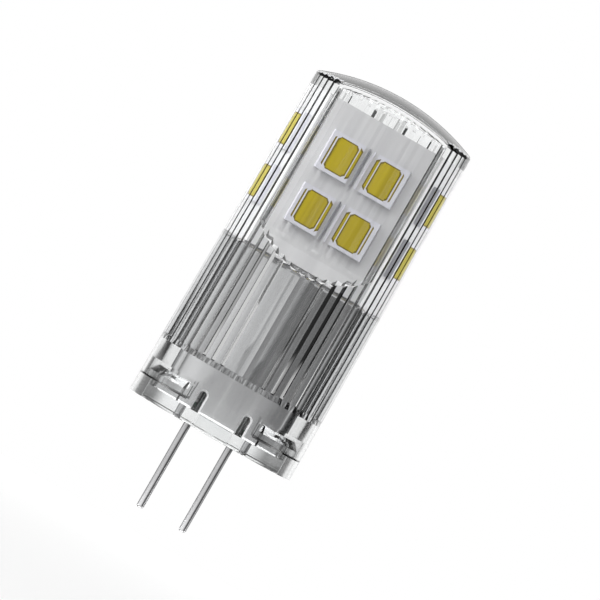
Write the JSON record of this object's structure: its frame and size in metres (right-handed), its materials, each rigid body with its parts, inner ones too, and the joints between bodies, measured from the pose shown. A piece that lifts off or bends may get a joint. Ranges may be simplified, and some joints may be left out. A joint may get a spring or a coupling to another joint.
{
  "type": "led capsule bulb",
  "caption": "Clear ribbed capsule LED bulb on a two-pin base, with flat windows, a bright aluminium sleeve and yellow LED packages on a white post.",
  "frame": {"origin": "midway between the two pins, on the bulb's lower face", "axes": "+Z towards the dome, X along the pin spacing, -Y out of the front window"},
  "size_m": [0.0152, 0.0152, 0.04],
  "materials": {
    "clear_cover": "clear moulded, polished",
    "clear_plug": "clear moulded, polished",
    "pin_wire": "bright nickel-plated wire",
    "sleeve_aluminium": "bright drawn",
    "post_aluminium": "satin",
    "board_white": "white solder mask",
    "led_white": "white moulded",
    "phosphor_yellow": "silicone with phosphor",
    "board_green": "dark solder mask",
    "package_black": "moulded epoxy",
    "ceramic_tan": "fired ceramic",
    "ferrite_grey": "ferrite and lacquered wire",
    "solder": "solder",
    "lead_wire": "tinned copper wire"
  },
  "bodies": {
    "root": {"base_plug": "clear_plug", "bleed_resistor": "package_black", "bulk_capacitor": "ceramic_tan", "cover": "clear_cover", "diode": "package_black", "driver_board": "board_green", "driver_ic": "package_black", "heat_sleeve": "sleeve_aluminium", "inductor": "ferrite_grey", "input_capacitor": "ceramic_tan", "lead_left": "lead_wire", "lead_right": "lead_wire", "led_back_lower_left": "led_white", "led_back_lower_right": "led_white", "led_back_upper_left": "led_white", "led_back_upper_right": "led_white", "led_board_back": "board_white", "led_board_front": "board_white", "led_board_left": "board_white", "led_board_right": "board_white", "led_front_lower_left": "led_white", "led_front_lower_right": "led_white", "led_front_upper_left": "led_white", "led_front_upper_right": "led_white", "led_left_lower": "led_white", "led_left_upper": "led_white", "led_right_lower": "led_white", "led_right_upper": "led_white", "phosphor_back_lower_left": "phosphor_yellow", "phosphor_back_lower_right": "phosphor_yellow", "phosphor_back_upper_left": "phosphor_yellow", "phosphor_back_upper_right": "phosphor_yellow", "phosphor_front_lower_left": "phosphor_yellow", "phosphor_front_lower_right": "phosphor_yellow", "phosphor_front_upper_left": "phosphor_yellow", "phosphor_front_upper_right": "phosphor_yellow", "phosphor_left_lower": "phosphor_yellow", "phosphor_left_upper": "phosphor_yellow", "phosphor_right_lower": "phosphor_yellow", "phosphor_right_upper": "phosphor_yellow", "pin_left": "pin_wire", "pin_right": "pin_wire", "rectifier": "package_black", "sense_resistor": "package_black", "solder_joint_left": "solder", "solder_joint_right": "solder", "spreader_post": "post_aluminium"}
  },
  "joints": []
}
